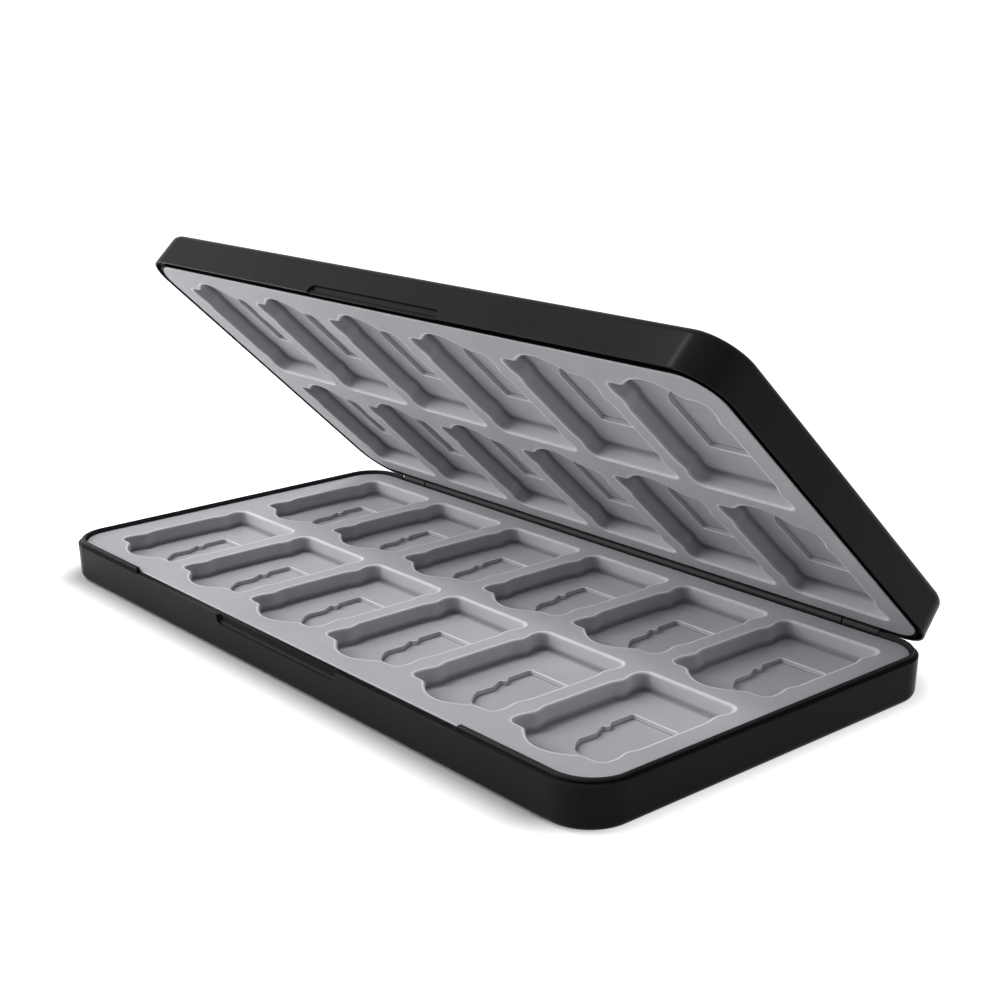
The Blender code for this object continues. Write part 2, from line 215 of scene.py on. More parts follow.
class Surface:
    """Points and faces of one piece, gathered as whole arrays."""

    def __init__(self) -> None:
        """Start with nothing."""
        self.points: list[np.ndarray] = []
        self.ease: list[np.ndarray] = []
        self.faces: list[list[int]] = []
        self.count = 0

    def add(self, points: np.ndarray, ease: np.ndarray | float = 0.0) -> np.ndarray:
        """Add points.

        Args:
            points: The points, (..., 3).
            ease: How much painted highlight (up to 1) or painted shade (down to -1) each point carries.

        Returns:
            Their numbers, (...).
        """
        size = points[..., 0].size
        numbers = np.arange(self.count, self.count + size).reshape(points.shape[:-1])
        self.points.append(points.reshape(-1, 3))
        self.ease.append(np.broadcast_to(ease, points.shape[:-1]).ravel())
        self.count += size
        return numbers

    def join(self, rings: np.ndarray) -> None:
        """Join each closed ring to the next with four-sided faces.

        Args:
            rings: Point numbers, (..., rings, points).
        """
        after = np.roll(rings, -1, axis=-1)
        corners = (rings[..., :-1, :], after[..., :-1, :], after[..., 1:, :], rings[..., 1:, :])
        self.faces += np.stack(corners, axis=-1).reshape(-1, 4).tolist()

    def fill(self, *loops: np.ndarray) -> None:
        """Fill a flat outline with triangles, leaving out the holes in it.

        A triangle with all its corners on one anticlockwise loop lies inside that loop if it
        turns anticlockwise too when its corners are taken in the loop's order.

        Args:
            loops: Point numbers of the outline and of each hole, each anticlockwise.
        """
        numbers = np.concatenate(loops)
        lengths = [len(loop) for loop in loops]
        owner = np.repeat(np.arange(len(loops)), lengths)
        starts = np.cumsum([0, *lengths[:-1]])
        after = np.arange(len(numbers)) + 1
        after[starts + lengths - 1] = starts
        edges = np.stack((np.arange(len(numbers)), after), axis=-1)
        flat = self.gathered()[numbers, :2]
        made = delaunay_2d_cdt(flat.tolist(), edges.tolist(), [], 1, TINY)
        if not all(made[3]):
            raise ValueError("a flat outline crosses itself")
        kept = np.array([sources[0] for sources in made[3]])
        corners = np.sort(kept[np.array(made[2])], axis=-1)
        first, second, third = (flat[corners[:, i]] for i in range(3))
        (x1, y1), (x2, y2) = (second - first).T, (third - first).T
        inside = x1 * y2 - x2 * y1 > 0
        start, end = owner[corners[:, 0]], owner[corners[:, 2]]
        good = (start != end) | (inside == (start == 0))
        self.faces += numbers[corners[good]].tolist()

    def cap(self, ring: np.ndarray) -> None:
        """Close a ring with one face."""
        self.faces.append(ring.tolist())

    def gathered(self) -> np.ndarray:
        """Return all the points, (points, 3)."""
        return np.concatenate(self.points)


@dataclass(frozen=True)
class HalfPlace:
    """Where one half lies: its own x, y and depth, set about the hinge axis.

    y and depth are taken from the hinge axis and turned about +X by the angle t:
    y' = y cos t - z sin t and z' = y sin t + z cos t, where z is the depth with its sign.
    """

    half: Half
    hinge_y: float
    hinge_z: float
    gap: float
    turn: float = 0.0
    depth_sign: int = -1

    def world(self, points: np.ndarray) -> np.ndarray:
        """Set points of this half in place.

        Args:
            points: x, y and depth in millimetres, (..., 3).

        Returns:
            The points in metres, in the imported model's frame.
        """
        y = points[..., 1] - self.hinge_y
        z = self.depth_sign * (self.gap / 2 + points[..., 2])
        cosine, sine = math.cos(self.turn), math.sin(self.turn)
        placed = (points[..., 0], self.hinge_y + y * cosine - z * sine,
                  self.hinge_z + y * sine + z * cosine)
        return np.stack(placed, axis=-1) * MM


def make_piece(name: str, surface: Surface, points: np.ndarray, material: bpy.types.Material,
               half: Half) -> bpy.types.Object:
    """Make one piece of the case and let it ride on its half.

    Args:
        name: The piece's name.
        surface: Its faces, and how much painted highlight or shade each point carries.
        points: Its points where they lie, in metres, (points, 3).
        material: Its material.
        half: The half whose body carries it.

    Returns:
        The new object.
    """
    mesh = bpy.data.meshes.new(name)
    mesh.from_pydata(points.tolist(), [], surface.faces)
    # Each point's painted highlight or shade goes on the mesh, for the material to turn into colour
    ease = mesh.attributes.new(EASE, "FLOAT", "POINT")
    ease.data.foreach_set("value", np.concatenate(surface.ease))
    tidy = bmesh.new()
    tidy.from_mesh(mesh)
    bmesh.ops.remove_doubles(tidy, verts=tidy.verts, dist=MERGE_DISTANCE)
    bmesh.ops.recalc_face_normals(tidy, faces=tidy.faces)
    tidy.to_mesh(mesh)
    tidy.free()
    mesh.shade_smooth()
    mesh.set_sharp_from_angle(angle=SHARP_ANGLE)
    mesh.materials.append(material)
    piece = bpy.data.objects.new(name, mesh)
    bpy.context.collection.objects.link(piece)
    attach(piece, half.value)
    log.info("%s: %d faces on %s", name, len(mesh.polygons), half.value)
    return piece


# Finishes


def linear(code: str) -> tuple[float, float, float, float]:
    """Turn an sRGB hex colour into a linear one.

    Args:
        code: The colour, as #rrggbb.

    Returns:
        Red, green, blue and alpha.
    """
    shares = [int(code[i:i + 2], 16) / 255 for i in (1, 3, 5)]
    red, green, blue = (s / 12.92 if s <= 0.04045 else ((s + 0.055) / 1.055) ** 2.4 for s in shares)
    return red, green, blue, 1.0


def add_node(tree: bpy.types.NodeTree, kind: str, settings: dict[str | int, Any] | None = None,
             links: dict[str | int, Any] | None = None) -> bpy.types.Node:
    """Add one node.

    Args:
        tree: The node tree.
        kind: The node's type.
        settings: Values of its properties and of its input sockets, by name or number.
        links: Output sockets that its input sockets are fed from, by name or number.

    Returns:
        The new node.
    """
    node = tree.nodes.new(kind)
    feed(node, settings or {}, links or {})
    return node


def feed(node: bpy.types.Node, settings: dict[str | int, Any],
         links: dict[str | int, Any]) -> None:
    """Set a node's values and feed its inputs.

    Args:
        node: The node.
        settings: Values of its properties and of its input sockets, by name or number.
        links: Output sockets that its input sockets are fed from, by name or number.
    """
    for name, value in settings.items():
        if isinstance(name, str) and hasattr(node, name):
            setattr(node, name, value)
        else:
            node.inputs[name].default_value = value
    for name, source in links.items():
        node.id_data.links.new(source, node.inputs[name])


def per_millimetre(size: float) -> float:
    """Return the scale at which a texture on metres repeats every so many millimetres."""
    return 1 / (size * MM)


def start_material(name: str) -> tuple[bpy.types.Material, bpy.types.Node, bpy.types.NodeSocket]:
    """Start a material.

    Args:
        name: Its name.

    Returns:
        The material, its shader, and each point's place on the object in metres.
    """
    material = bpy.data.materials.new(name)
    material.use_nodes = True
    tree = material.node_tree
    place = add_node(tree, "ShaderNodeTexCoord").outputs["Object"]
    return material, tree.nodes["Principled BSDF"], place


@dataclass(frozen=True)
class Finish:
    """What every finish starts from: its name, two near colours and how rough it is."""

    name: str
    pale: str
    deep: str
    roughness: float

    def coloured(self, ramp: bpy.types.Node, stops: tuple[float, float]) -> bpy.types.NodeSocket:
        """Run a ramp from the deep colour to the pale one.

        Args:
            ramp: The ramp.
            stops: Where on it each of the two colours stands.

        Returns:
            Its colour.
        """
        low, high = ramp.color_ramp.elements
        low.position, high.position = stops
        low.color, high.color = linear(self.deep), linear(self.pale)
        return ramp.outputs["Color"]


@dataclass(frozen=True)
class MouldedFinish(Finish):
    """A moulded polymer with fine grain and slow, slight drifts in colour and gloss.

    The colour follows the slow drift and a share of the grain, added up. Over that, two more
    colours are painted in where the mesh marks them: a highlight on edges and shade in feet.
    """

    roughness_drift: float
    ior: float
    specular: float
    grain: float
    grain_height: float
    drift: float
    # Colours of the painted highlight and of the painted shade
    edge: str
    painted_shade: str
    scatter: float = 0.0
    scatter_depth: float = 0.0
    grain_share: float = 0.35
    colour_stops: tuple[float, float] = (0.45, 0.9)

    def material(self) -> bpy.types.Material:
        """Build the material: drifting colour, drifting gloss and grain as bump.

        Returns:
            The material.
        """
        material, shader, place = start_material(self.name)
        tree = material.node_tree
        slow = add_node(tree, "ShaderNodeTexNoise", {
            "Scale": per_millimetre(self.drift), "Detail": 3.0,
        }, {"Vector": place}).outputs["Fac"]
        grain = add_node(tree, "ShaderNodeTexNoise", {
            "Scale": per_millimetre(self.grain), "Detail": 2.0, "Roughness": 0.6,
        }, {"Vector": place}).outputs["Fac"]
        mixed = add_node(tree, "ShaderNodeMath", {
            "operation": "MULTIPLY_ADD", 1: self.grain_share,
        }, {0: grain, 2: slow}).outputs[0]
        ramp = add_node(tree, "ShaderNodeValToRGB", links={"Fac": mixed})
        gloss = add_node(tree, "ShaderNodeMapRange", {
            "From Min": NOISE_RANGE[0], "From Max": NOISE_RANGE[1],
            "To Min": self.roughness - self.roughness_drift,
            "To Max": self.roughness + self.roughness_drift,
        }, {"Value": slow}).outputs["Result"]
        bump = add_node(tree, "ShaderNodeBump", {
            "Strength": 1.0, "Distance": self.grain_height * MM,
        }, {"Height": grain}).outputs["Normal"]
        colour = self.paint_light(tree, self.coloured(ramp, self.colour_stops))
        feed(shader, {
            "IOR": self.ior, "Specular IOR Level": self.specular,
            "Subsurface Weight": self.scatter, "Subsurface Radius": (1.0, 1.0, 1.0),
            "Subsurface Scale": self.scatter_depth * MM,
        }, {"Base Color": colour, "Roughness": gloss, "Normal": bump})
        return material

    def paint_light(self, tree: bpy.types.NodeTree, colour: bpy.types.NodeSocket) -> bpy.types.NodeSocket:
        """Paint highlights onto the edges and shade into the feet of walls, where the mesh marks them.

        Args:
            tree: The node tree.
            colour: The plain colour.

        Returns:
            The colour with painted highlights on the edges and painted shade in the feet.
        """
        ease = add_node(tree, "ShaderNodeAttribute", {"attribute_name": EASE}).outputs["Fac"]
        for code, end in ((self.edge, 1.0), (self.painted_shade, -1.0)):
            share = add_node(tree, "ShaderNodeMapRange", {"From Max": end}, {"Value": ease})
            mix = add_node(tree, "ShaderNodeMix", {"data_type": "RGBA", 7: linear(code)},
                           {0: share.outputs["Result"], 6: colour})
            colour = mix.outputs[2]
        return colour


@dataclass(frozen=True)
class MetalFinish(Finish):
    """A bright metal marked by a noise, which a small scale along one axis draws into lines."""

    line: float
    line_height: float
    stretch: tuple[float, float, float]

    def material(self) -> bpy.types.Material:
        """Build the material: the marks have their colour and height.

        Returns:
            The material.
        """
        material, shader, place = start_material(self.name)
        tree = material.node_tree
        along = add_node(tree, "ShaderNodeMapping", {"Scale": self.stretch}, {"Vector": place})
        lines = add_node(tree, "ShaderNodeTexNoise", {
            "Scale": per_millimetre(self.line), "Detail": 3.0,
        }, {"Vector": along.outputs["Vector"]}).outputs["Fac"]
        ramp = add_node(tree, "ShaderNodeValToRGB", links={"Fac": lines})
        bump = add_node(tree, "ShaderNodeBump", {
            "Strength": 1.0, "Distance": self.line_height * MM,
        }, {"Height": lines}).outputs["Normal"]
        feed(shader, {"Roughness": self.roughness, "Metallic": 1.0},
             {"Base Color": self.coloured(ramp, NOISE_RANGE), "Normal": bump})
        return material


# ABS, moulded against a spark-eroded tool: deep black, satin, with broad soft highlights. It
# mirrors less than its IOR gives, or the white studio all round would veil the black. The real
# grain is about 0.05 mm, too fine to show, and is drawn at 0.25 mm.
SATIN_ABS = MouldedFinish(
    name="spark_eroded_black_abs", pale="#242425", deep="#202021", roughness=0.28,
    roughness_drift=0.02, ior=1.53, specular=0.02, grain=0.25, grain_height=0.0025, drift=30.0,
    # The last two colours paint a highlight on the rim and the lip's top, and shade in the finger notch and inside
    # the rim.
    edge="#343436", painted_shade="#0a0a0b",
)

# The same ABS on the hinge barrel and knuckles, with a wider highlight. Its colour is painted
# a little paler, as painted light on the barrel.
HINGE_ABS_PAINTED_PALER = MouldedFinish(
    name="hinge_black_abs_painted_paler", pale="#2b2b2c", deep="#272728", roughness=0.45,
    roughness_drift=0.02, ior=1.53, specular=0.1, grain=0.25, grain_height=0.0015, drift=30.0,
    edge="#303032", painted_shade="#070708",
)

# Silicone rubber, compression moulded in a vapour-blasted tool: light grey with a faint blue,
# dry and matt, with light that spreads half a millimetre into it and softens its edges.
SOFT_SILICONE = MouldedFinish(
    name="moulded_grey_silicone", pale="#bbbbc0", deep="#b2b2b6", roughness=0.62,
    roughness_drift=0.04, ior=1.41, specular=0.4, grain=0.3, grain_height=0.006, drift=24.0,
    # The last two colours paint a highlight on pocket mouths, recess edges and the tray's edge, and shade in the
    # feet of pockets and recesses.
    edge="#f0f0f3", painted_shade="#8a8a8f", scatter=0.7, scatter_depth=0.5,
)

# Stainless steel wire, drawn: bright, with hair lines along the pin.
DRAWN_STEEL = MetalFinish(
    name="drawn_stainless_pin", pale="#cfcdca", deep="#a9a8a6", roughness=0.24, line=0.08,
    line_height=0.001, stretch=(0.05, 1.0, 1.0),
)

# Sintered magnet, barrel-plated with nickel: warm, bright and slightly uneven.
NICKEL_PLATE = MetalFinish(
    name="barrel_plated_nickel", pale="#d6d0c4", deep="#bdb7ab", roughness=0.18, line=0.9,
    line_height=0.002, stretch=(1.0, 1.0, 1.0),
)


# The case


@dataclass(frozen=True)
class CaseSizes:
    """Sizes that both halves share."""

    length: float = 173.4
    depth: float = 88.4
    height: float = 8.2
    front_radius: float = 9.2
    rear_radius: float = 8.4
    taper: float = 0.35
    floor: float = 1.2
    front_extra: float = 0.45
    parting_gap: float = 0.3
    corner_steps: int = 24

    @property
    def half_length(self) -> float:
        """Half the length along the hinge."""
        return self.length / 2

    @property
    def half_depth(self) -> float:
        """Half the depth from the opening edge to the hinge edge."""
        return self.depth / 2

    def front_room(self, stations: np.ndarray) -> np.ndarray:
        """How much further back the inside of the front wall lies at each station."""
        return self.front_extra * np.maximum(-stations[:, 3], 0)

    def stations(self, front: np.ndarray, rear: np.ndarray) -> np.ndarray:
        """Walk round the rim's outline, anticlockwise from the front's left end.

        The outline is straight between its corners, and each corner is an arc about its own
        centre, so a station's outward direction turns evenly round it.

        Args:
            front: x of the stations along the opening edge, rising.
            rear: x of the stations along the hinge edge, falling.

        Returns:
            x, y, outward x and outward y of each station, (stations, 4).
        """
        parts = [self.straight(front, -1)]
        for side_x, side_y, start in ((1, -1, -0.5), (1, 1, 0), (-1, 1, 0.5), (-1, -1, 1)):
            if side_x < 0 < side_y:
                parts.append(self.straight(rear, 1))
            radius = self.front_radius if side_y < 0 else self.rear_radius
            angle = math.pi * start + quarter(self.corner_steps)
            out = np.stack((np.cos(angle), np.sin(angle)), axis=-1)
            centre = (side_x * (self.half_length - radius), side_y * (self.half_depth - radius))
            parts.append(np.concatenate((np.array(centre) + radius * out, out), axis=-1))
        return np.concatenate(parts)

    def straight(self, places: np.ndarray, side: int) -> np.ndarray:
        """Return stations along the front (-1) or rear (1) edge.

        Args:
            places: x of each station.
            side: -1 for the front edge, 1 for the rear edge.

        Returns:
            x, y, outward x and outward y, (stations, 4).
        """
        zero = np.zeros_like(places)
        return np.stack((places, zero + side * self.half_depth, zero, zero + side), axis=-1)


@dataclass(frozen=True)
class HingeSizes:
    """Sizes of the hinge line: a long barrel on the lid between two short knuckles."""

    setback: float = 0.15
    end_inset: float = 12.6
    knuckle: float = 8.6
    slit: float = 0.22
    end_slit: float = 0.06
    radius: float = 1.25
    clearance: float = 0.06
    edge: float = 0.15
    pin_radius: float = 0.5
    bore_clearance: float = 0.1
    pin_recess: float = 0.2
    plug: float = 0.15
    pin_grip: float = 6.5
    sides: int = 48

    def outer(self, case: CaseSizes) -> float:
        """Distance from the middle to a knuckle's outer end."""
        return case.half_length - self.end_inset

    def barrel(self, case: CaseSizes) -> float:
        """Half the barrel's length."""
        return self.outer(case) - self.knuckle - self.slit


def both_signs(places: np.ndarray) -> np.ndarray:
    """Mirror rising places about zero, in rising order."""
    return np.concatenate((-places[::-1], places))


def smooth_step(share: np.ndarray) -> np.ndarray:
    """Ease from 0 to 1: 3 s^2 - 2 s^3, held at both ends."""
    share = np.clip(share, 0, 1)
    return share * share * (3 - 2 * share)


# Painted shade in the finger notch, from its far edge over its upper side to the rim, and then
# the painted highlight on the rim's outer edge and its flat, and the painted shade on all that
# lies inside it.
NOTCH_PAINTED_LIGHT = {Half.BASE: (-0.7, -0.2, -0.4, -1.0), Half.LID: (-0.6, -1.0, -1.0, 0.0)}
RIM_EDGE_HIGHLIGHT, RIM_FLAT_HIGHLIGHT, INNER_SHADE = 0.4, 0.1, -1.0


@dataclass
class Shell:
    """One moulded half: floor, tapered walls, rim with lip or step, and finger notch."""

    place: HalfPlace
    case: CaseSizes
    hinge: HingeSizes
    wall: float
    lip: float = 0.0
    step: float = 0.0
    ridge: float = 0.0
    rim: float = 0.0
    # Radius and stretches of each rounded corner of the section, in Bend's order
    bends: tuple[tuple[float, int], ...] = (
        (1.72, 10), (0.12, 3), (0.6, 4), (0.8, 4), (0.8, 4), (0.12, 4), (0.08, 2), (0.14, 4),
        (0.14, 4),
    )
    floor_bend: tuple[float, int] = (0.3, 3)
    lip_break: float = 54.0
    ramp: float = 0.6
    ramp_steps: int = 8
    hinge_ramp: float = 0.1
    hinge_ramp_steps: int = 4
    notch_half: float = 20.5
    notch_depth: float = 0.7
    notch_height: float = 1.9
    notch_cove: float = 1.0
    notch_end: float = 0.5
    notch_corner: float = 1.5
    notch_reach: float = 1.2
    notch_steps: int = 16
    # Corners of the cove, as shares of the notch's depth and of the cove's height
    cove_shares: tuple[tuple[float, float], ...] = ((0, 0), (0.62, 0.1), (0.92, 0.45), (1, 1))
    cap_width: float = 4.0
    magnet: "Magnets | None" = None
    surface: Surface = field(default_factory=Surface)

    @property
    def trough_ends(self) -> tuple[float, float]:
        """Where along the hinge edge this half makes room for the other half's rod.

        Returns:
            The trough's two ends, as distances from the middle.
        """
        barrel, outer = self.hinge.barrel(self.case), self.hinge.outer(self.case)
        if self.place.half is Half.BASE:
            return 0.0, barrel + self.hinge.slit
        return barrel, outer + self.hinge.end_slit

    @property
    def lip_foot(self) -> float:
        """Where along the hinge edge the step starts, or the lip that the step takes.

        Returns:
            Its distance from the middle.
        """
        step_foot = self.hinge.outer(self.case) + self.hinge.end_slit
        if self.place.half is Half.LID:
            return step_foot
        return step_foot + self.hinge_ramp + self.hinge.end_slit

    def front_places(self) -> np.ndarray:
        """Place the stations along the opening edge.

        They crowd towards the notch's ends as 1 - cos a. Two just past each end hold the front
        face flat in the shading.

        Returns:
            Their x, rising.
        """
        share = (1 - np.cos(quarter(self.notch_steps)))[::-1]
        end = self.notch_half - self.notch_reach * self.notch_corner * share
        hold = self.notch_half + HOLD * np.array((1, 3))
        ramp = self.lip_break + self.ramp * np.linspace(0, 1, self.ramp_steps + 1)
        return both_signs(np.concatenate((end, hold, ramp)))

    def rear_places(self) -> np.ndarray:
        """Place the stations along the hinge edge, with a pair at each end of a trough.

        Returns:
            Their x, falling.
        """
        low, high = self.trough_ends
        ramp = self.lip_foot + self.hinge_ramp * np.linspace(0, 1, self.hinge_ramp_steps + 1)
        ends = [low + TINY, low, high, high + TINY] if low else [high, high + TINY]
        places = np.unique(np.concatenate((ends, ramp)))
        return both_signs(places)[::-1]

    def taper_at(self, depth: np.ndarray) -> np.ndarray:
        """How far the outer face lies in from the rim's outline at a depth."""
        return self.case.taper * depth / self.case.height

    def notch_at(self, stations: np.ndarray) -> tuple[np.ndarray, ...]:
        """Depth and height of the finger notch at each station, and how near its end is.

        The end wall slants in evenly, and the far edge comes down to it on a quarter circle:
        height = h - r + sqrt(r^2 - (r - e)^2) at a distance e from the end.

        Args:
            stations: The stations, (stations, 4).

        Returns:
            The notch's depth into the wall, its height from the rim, and a share that is 1 on
            its end walls and falls off inside.
        """
        x, y = stations[:, 0], stations[:, 1]
        from_end = np.where(y < 0, self.notch_half - np.abs(x), 0).clip(min=0)
        depth = self.notch_depth * np.clip(from_end / self.notch_end, 0, 1)
        short = np.clip(self.notch_corner - from_end, 0, self.notch_corner)
        drop = self.notch_corner - np.sqrt(self.notch_corner ** 2 - short ** 2)
        near_end = np.clip(1 - (from_end - self.notch_end) / self.notch_end, 0, 1)
        return depth, self.notch_height - drop, near_end

    def raised(self, stations: np.ndarray) -> np.ndarray:
        """Say how much of the lip (base) or of the step (lid) stands at each station.

        Args:
            stations: The stations, (stations, 4).

        Returns:
            A share from 0 to 1 for each.
        """
        x, rear = np.abs(stations[:, 0]), stations[:, 1] > 0
        at_hinge = smooth_step((x - self.lip_foot) / self.hinge_ramp)
        if self.place.half is Half.LID:
            return np.where(rear, at_hinge, 1.0)
        return np.where(rear, at_hinge, smooth_step((x - self.lip_break) / self.ramp))

    def corners(self, stations: np.ndarray) -> np.ndarray:
        """Return the wall's section at each station as (inset, depth) corners.

        The section runs from the outer face over the fillet, the tapered wall and the cove of
        the finger notch to the rim, over the lip or down the step and up the thin ridge that
        stands inside it, and on to the inner floor.

        Args:
            stations: The stations, (stations, 4).

        Returns:
            The corners, (stations, corners, 2).
        """
        notch, far, _ = self.notch_at(stations)
        share = self.raised(stations)
        zero = np.zeros_like(share)
        height, cove = self.case.height, np.minimum(self.notch_cove, far / 2)
        rim_level = zero - self.lip * share + self.step * share
        floor = zero + height - self.case.floor
        outside = zero + height
        section = [(zero + self.cap_width, outside), (self.taper_at(outside), outside)]
        for across, along in self.cove_shares:
            depth = far - along * cove
            section.append((self.taper_at(depth) + across * notch, depth))
        section += [(notch, zero), (zero + self.rim, zero), (zero + self.rim, rim_level)]
        if self.ridge:
            ridge = zero + self.wall - self.ridge
            section += [(ridge, rim_level), (ridge, zero), (zero + self.wall, zero)]
        else:
            section.append((zero + self.wall, rim_level))
        section += [(zero + self.wall, floor), (zero + self.wall + self.cap_width, floor)]
        return np.stack([np.stack(pair, axis=-1) for pair in section], axis=1)

    def trough(self, section: np.ndarray, here: np.ndarray, first: int, last: int) -> None:
        """Cut the round trough for the other half's rod into the sections where it runs.

        The trough is an arc about the hinge axis, from the outer face to the ledge in the rim.

        Args:
            section: The rounded sections, changed in place.
            here: Which stations lie in a trough.
            first: The first row of the section that moves onto the arc.
            last: The row after the last one that moves.
        """
        radius = self.hinge.radius + self.hinge.clearance
        middle = np.array((-self.hinge.setback, -self.case.parting_gap / 2))
        start = math.acos(-middle[0] / radius)
        end = math.asin(-middle[1] / radius)
        angle = np.linspace(start, end, last - first)
        arc = middle + radius * np.stack((np.cos(angle), np.sin(angle)), axis=-1)
        section[here, first:last] = arc

    def paint_light(self, rows: np.ndarray, stations: np.ndarray) -> np.ndarray:
        """Say how much painted highlight or shade each row of the section carries at each station.

        A painted highlight makes the rim's outer edge, its flat and the lip's top paler, and painted
        shade darkens what lies inside the rim, and the far edge, the end walls and the upper side of
        the finger notch.

        Args:
            rows: The first row of each rounded corner, and the row after the last.
            stations: The stations, (stations, 4).

        Returns:
            The painted highlight (above 0) or shade (below 0), (stations, rows).
        """
        depth, _, near_end = self.notch_at(stations)
        inside = np.where(depth > 0, 1.0, 0.0)
        painted_light = np.zeros((len(stations), rows[-1] + 1))
        shares = NOTCH_PAINTED_LIGHT[self.place.half]
        for bend, share in enumerate(shares, start=Bend.NOTCH_EDGE):
            painted_light[:, rows[bend]:rows[bend + 1]] = (inside * np.minimum(share, -near_end))[:, None]
        painted_light[:, rows[Bend.NOTCH_EDGE]] = 0
        rim, flat, ledge = rows[Bend.RIM_OUTER], rows[Bend.RIM_INNER] - 1, rows[Bend.LEDGE_OUTER]
        painted_light[:, rim] = inside * shares[-1]
        painted_light[:, rim + 1:flat] = RIM_EDGE_HIGHLIGHT
        painted_light[:, flat:ledge - 1] = RIM_FLAT_HIGHLIGHT
        painted_light[:, ledge - 1:rows[-2]] = INNER_SHADE
        # The lip's top turns from painted shade to painted highlight where the lip stands
        if self.lip:
            top = rows[Bend.LEDGE_INNER + 1]
            painted_light[:, ledge:top] -= 2 * INNER_SHADE * self.raised(stations)[:, None]
        return painted_light

    def build(self, material: bpy.types.Material) -> bpy.types.Object:
        """Carry the section round the rim and close it above and below.

        Args:
            material: The finish.

        Returns:
            The shell.
        """
        stations = self.case.stations(self.front_places(), self.rear_places())
        ridge = [(self.ridge / 3, 2)] * 2 if self.ridge else []
        bends = [*self.bends, *ridge, self.floor_bend]
        section = round_path(self.corners(stations), bends)
        x, y = stations[:, 0], stations[:, 1]
        low, high = self.trough_ends
        here = (y > self.case.half_depth - TINY) & (np.abs(x) <= high) & (np.abs(x) >= low)
        rows = np.cumsum([1, *(steps + 3 for _, steps in bends)])
        inner = rows[Bend.LEDGE_INNER]
        self.trough(section, here, rows[Bend.NOTCH_EDGE], inner + 1)
        flat = stations[:, None, :2] - stations[:, None, 2:] * section[..., :1]
        flat[:, inner:, 1] += self.case.front_room(stations)[:, None]
        grid = np.concatenate((flat, section[..., 1:]), axis=-1)
        rings = self.surface.add(grid, self.paint_light(rows, stations)).T
        self.surface.join(rings)
        self.surface.fill(rings[0])
        self.surface.fill(rings[-1])
        if self.magnet:
            self.magnet.seats(self.surface)
        half = self.place.half
        points = self.place.world(self.surface.gathered())
        name = half.value + "_moulding"
        shell = make_piece(name, self.surface, points, material, half)
        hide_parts(half.value + "_shell")
        return shell


def rounded_block(low: np.ndarray, high: np.ndarray, radius: float, steps: int = 4) -> np.ndarray:
    """Return a block with rounded edges as rings from its bottom to its top.

    A point is its corner's centre plus radius times (cos v cos u, cos v sin u, sin v), where the
    corner is the one of the eight that the angles u and v point to.

    Args:
        low: The lowest corner.
        high: The highest corner.
        radius: The edges' radius.
        steps: The stretches of each rounded edge.

    Returns:
        The rings, (rings, points, 3).
    """
    middle, reach = (low + high) / 2, (high - low) / 2 - radius
    turns = np.arange(4)[:, None] * math.pi / 2 + quarter(steps)
    side_x = np.broadcast_to(np.array((1, -1, -1, 1))[:, None], turns.shape).ravel()
    side_y = np.broadcast_to(np.array((1, 1, -1, -1))[:, None], turns.shape).ravel()
    u = turns.ravel()[None]
    v = np.concatenate((quarter(steps) - math.pi / 2, quarter(steps)))[:, None]
    side_z = np.where(np.arange(len(v)) <= steps, -1, 1)[:, None]
    block = (side_x * reach[0] + radius * np.cos(v) * np.cos(u),
             side_y * reach[1] + radius * np.cos(v) * np.sin(u),
             side_z * reach[2] + radius * np.sin(v) + 0 * u)
    return middle + np.stack(block, axis=-1)


@dataclass
class Magnets:
    """The two hidden closing magnets of one half, on seats behind the opening edge."""

    place: HalfPlace
    case: CaseSizes
    wall: float
    tray_gap: float = 0.3
    length: float = 18.0
    width: float = 3.0
    thickness: float = 2.0
    end_inset: float = 49.2
    cover: float = 1.3
    gap: float = 0.3
    setback: float = 0.6
    edge: float = 0.25

    def span(self, side: int) -> tuple[float, float, float, float]:
        """Say where the magnet on one side lies.

        Args:
            side: -1 for the left one, 1 for the right one.

        Returns:
            Its low x, low y, high x and high y.
        """
        middle = side * (self.case.half_length - self.end_inset)
        front = -self.case.half_depth + self.wall + self.tray_gap + self.setback
        return middle - self.length / 2, front, middle + self.length / 2, front + self.width

    def block(self, surface: Surface, low: tuple[float, ...], high: tuple[float, ...]) -> None:
        """Add a rounded block to a surface.

        Args:
            surface: The surface.
            low: The block's lowest corner.
            high: Its highest corner.
        """
        rings = surface.add(rounded_block(np.array(low), np.array(high), self.edge))
        surface.join(rings)
        corners = slice(0, None, rings.shape[1] // 4)
        surface.cap(rings[0, corners])
        surface.cap(rings[-1, corners])

    def seats(self, surface: Surface) -> None:
        """Add the blocks that rise from the shell's floor and carry the magnets.

        Args:
            surface: The shell's surface.
        """
        top = self.cover + self.gap + self.thickness + self.gap
        bottom = self.case.height - self.case.floor / 2
        front = -self.case.half_depth + self.wall / 2
        for side in (-1, 1):
            low_x, _, high_x, high_y = self.span(side)
            self.block(surface, (low_x, front, top), (high_x, high_y, bottom))

    def build(self, material: bpy.types.Material) -> None:
        """Add the two magnets.

        Args:
            material: The finish.
        """
        half = self.place.half
        top = self.cover + self.gap
        for side, word in SIDES:
            low_x, low_y, high_x, high_y = self.span(side)
            surface = Surface()
            self.block(surface, (low_x, low_y, top), (high_x, high_y, top + self.thickness))
            points = self.place.world(surface.gathered())
            name = f"{half.value}_magnet_{word}"
            magnet = make_piece(name + "_plated", surface, points, material, half)
            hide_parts(name)


